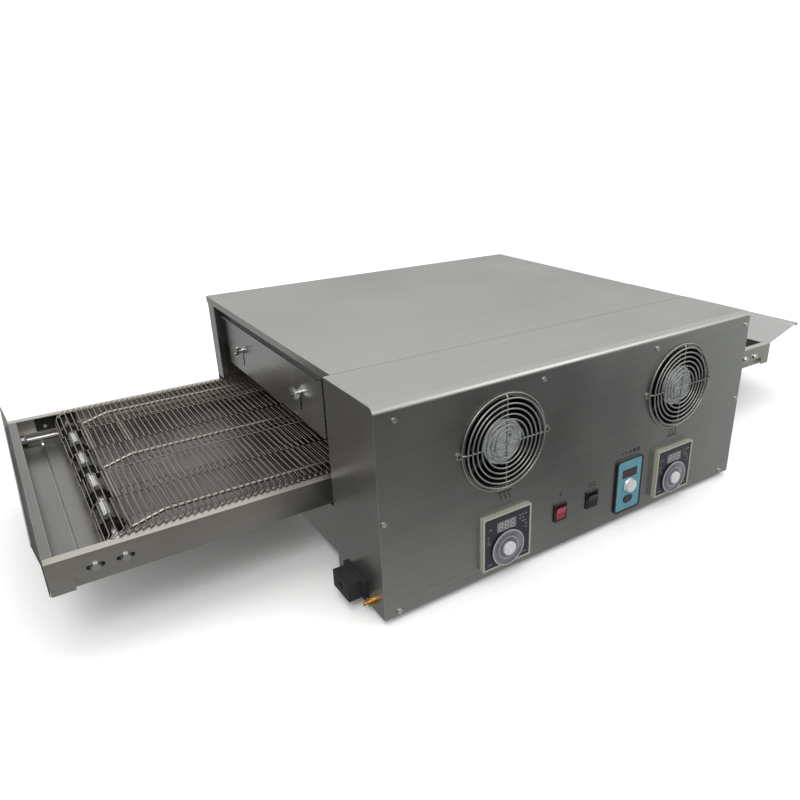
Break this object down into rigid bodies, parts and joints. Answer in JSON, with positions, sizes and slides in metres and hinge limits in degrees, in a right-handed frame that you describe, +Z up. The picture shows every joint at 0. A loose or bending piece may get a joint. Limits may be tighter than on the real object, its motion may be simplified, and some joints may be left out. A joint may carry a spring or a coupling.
{
  "type": "conveyor pizza oven",
  "caption": "Countertop electric conveyor oven: wire belt through a low baking tunnel, adjustable end gates, crumb trays and a front control box with fans.",
  "frame": {"origin": "centre of the bounding box in plan, on the plane the feet stand on", "axes": "+X along the belt towards the sloping exit shelf, +Y from the control panel to the rear, +Z up"},
  "size_m": [1.723, 0.784, 0.347],
  "materials": {
    "sheet_steel": "brushed",
    "inner_steel": "satin, heat stained",
    "black_plastic": "matte",
    "rubber_black": "matte",
    "wire_steel": "drawn wire",
    "bright_steel": "plated",
    "black_steel": "satin",
    "fibre": "soft blanket",
    "heater_sheath": "oxidised",
    "motor_grey": "satin",
    "controller_case": "satin",
    "dial_grey": "satin",
    "blue_face": "satin",
    "knob_silver": "satin",
    "red_plastic": "gloss",
    "brass": "plain",
    "terminal_plastic": "matte"
  },
  "bodies": {
    "oven": {"front_cover": "sheet_steel", "control_chassis": "sheet_steel", "bulkhead": "inner_steel", "top_cover": "sheet_steel", "rear_panel": "sheet_steel", "base_pan": "sheet_steel", "feet": "rubber_black", "left_end_plate": "inner_steel", "right_end_plate": "inner_steel", "chamber_liner": "inner_steel", "chamber_floor": "inner_steel", "insulation": "fibre", "upper_heaters": "heater_sheath", "lower_heaters": "heater_sheath", "front_rail": "sheet_steel", "rear_rail": "sheet_steel", "shaft_bearings": "black_steel", "take_up_bolts": "bright_steel", "belt_rack": "wire_steel", "conveyor_belt": "wire_steel", "gear_motor": "motor_grey", "drive_chain": "black_steel", "fan_frame_left": "black_steel", "fan_frame_right": "black_steel", "fan_guard_left": "bright_steel", "fan_guard_right": "bright_steel", "upper_heat_controller": "controller_case", "lower_heat_controller": "controller_case", "speed_controller": "blue_face", "switch_housings": "black_plastic", "cable_gland": "rubber_black", "earth_stud": "brass", "panel_screws": "bright_steel", "terminal_block": "terminal_plastic"},
    "drive": {"drive_shaft": "bright_steel", "drive_sprockets": "black_steel", "driven_sprocket": "black_steel"},
    "motor_output": {"motor_sprocket": "black_steel"},
    "left_idler": {"left_idler_shaft": "bright_steel", "left_idler_sprockets": "black_steel"},
    "right_idler": {"right_idler_shaft": "bright_steel", "right_idler_sprockets": "black_steel"},
    "left_fan": {"fan_rotor_left": "black_steel"},
    "right_fan": {"fan_rotor_right": "black_steel"},
    "upper_dial": {"upper_heat_dial": "dial_grey"},
    "lower_dial": {"lower_heat_dial": "dial_grey"},
    "speed_dial": {"speed_knob": "knob_silver"},
    "run_rocker": {"run_switch": "black_plastic"},
    "red_switch": {"red_rocker": "red_plastic"},
    "black_switch": {"black_rocker": "black_plastic"},
    "left_gate": {"left_gate": "sheet_steel"},
    "right_gate": {"right_gate": "sheet_steel"},
    "nut_left_front": {"wing_nut_left_front": "bright_steel"},
    "nut_left_rear": {"wing_nut_left_rear": "bright_steel"},
    "nut_right_front": {"wing_nut_right_front": "bright_steel"},
    "nut_right_rear": {"wing_nut_right_rear": "bright_steel"},
    "left_tray": {"left_tray_front": "sheet_steel", "left_crumb_tray": "sheet_steel"},
    "right_tray": {"exit_shelf": "sheet_steel", "right_crumb_tray": "sheet_steel"}
  },
  "joints": [
    {"name": "drive_spin", "type": "hinge", "parent": "oven", "child": "drive", "pos_m": [0.29145, -0.075, 0.14488], "axis": [0, 1, 0], "continuous": true},
    {"name": "motor_spin", "type": "hinge", "parent": "oven", "child": "motor_output", "pos_m": [0.29145, -0.239, 0.243], "axis": [0, 1, 0], "continuous": true},
    {"name": "left_idler_spin", "type": "hinge", "parent": "oven", "child": "left_idler", "pos_m": [-0.76055, 0.097, 0.14488], "axis": [0, 1, 0], "continuous": true},
    {"name": "right_idler_spin", "type": "hinge", "parent": "oven", "child": "right_idler", "pos_m": [0.65545, 0.097, 0.14488], "axis": [0, 1, 0], "continuous": true},
    {"name": "left_fan_spin", "type": "hinge", "parent": "oven", "child": "left_fan", "pos_m": [-0.24655, -0.337, 0.24], "axis": [0, 1, 0], "continuous": true},
    {"name": "right_fan_spin", "type": "hinge", "parent": "oven", "child": "right_fan", "pos_m": [0.15345, -0.337, 0.24], "axis": [0, 1, 0], "continuous": true},
    {"name": "upper_dial_turn", "type": "hinge", "parent": "oven", "child": "upper_dial", "pos_m": [-0.24355, -0.387, 0.0585], "axis": [0, 1, 0], "range_deg": [0, 270]},
    {"name": "lower_dial_turn", "type": "hinge", "parent": "oven", "child": "lower_dial", "pos_m": [0.15645, -0.387, 0.0585], "axis": [0, 1, 0], "range_deg": [0, 270]},
    {"name": "speed_turn", "type": "hinge", "parent": "oven", "child": "speed_dial", "pos_m": [0.04045, -0.385, 0.076], "axis": [0, 1, 0], "range_deg": [0, 280]},
    {"name": "run_tip", "type": "hinge", "parent": "oven", "child": "run_rocker", "pos_m": [0.04045, -0.373, 0.047], "axis": [0, 0, 1], "range_deg": [-10, 0]},
    {"name": "red_tip", "type": "hinge", "parent": "oven", "child": "red_switch", "pos_m": [-0.12455, -0.373, 0.076], "axis": [1, 0, 0], "range_deg": [-16, 0]},
    {"name": "black_tip", "type": "hinge", "parent": "oven", "child": "black_switch", "pos_m": [-0.05055, -0.373, 0.076], "axis": [1, 0, 0], "range_deg": [-16, 0]},
    {"name": "left_gate_lift", "type": "slide", "parent": "oven", "child": "left_gate", "axis": [0, 0, 1], "range_m": [0, 0.03]},
    {"name": "right_gate_lift", "type": "slide", "parent": "oven", "child": "right_gate", "axis": [0, 0, 1], "range_m": [0, 0.03]},
    {"name": "nut_left_front_turn", "type": "hinge", "parent": "oven", "child": "nut_left_front", "pos_m": [-0.43735, -0.048, 0.26], "axis": [1, 0, 0], "continuous": true},
    {"name": "nut_left_rear_turn", "type": "hinge", "parent": "oven", "child": "nut_left_rear", "pos_m": [-0.43735, 0.242, 0.26], "axis": [1, 0, 0], "continuous": true},
    {"name": "nut_right_front_turn", "type": "hinge", "parent": "oven", "child": "nut_right_front", "pos_m": [0.33225, -0.048, 0.26], "axis": [1, 0, 0], "continuous": true},
    {"name": "nut_right_rear_turn", "type": "hinge", "parent": "oven", "child": "nut_right_rear", "pos_m": [0.33225, 0.242, 0.26], "axis": [1, 0, 0], "continuous": true},
    {"name": "left_tray_pull", "type": "slide", "parent": "oven", "child": "left_tray", "axis": [-1, 0, 0], "range_m": [0, 0.35]},
    {"name": "right_tray_pull", "type": "slide", "parent": "oven", "child": "right_tray", "axis": [1, 0, 0], "range_m": [0, 0.35]}
  ],
  "couplings": [
    {"joint": "motor_spin", "follows": "drive_spin", "ratio": 1},
    {"joint": "left_idler_spin", "follows": "drive_spin", "ratio": 1},
    {"joint": "right_idler_spin", "follows": "drive_spin", "ratio": 1}
  ]
}
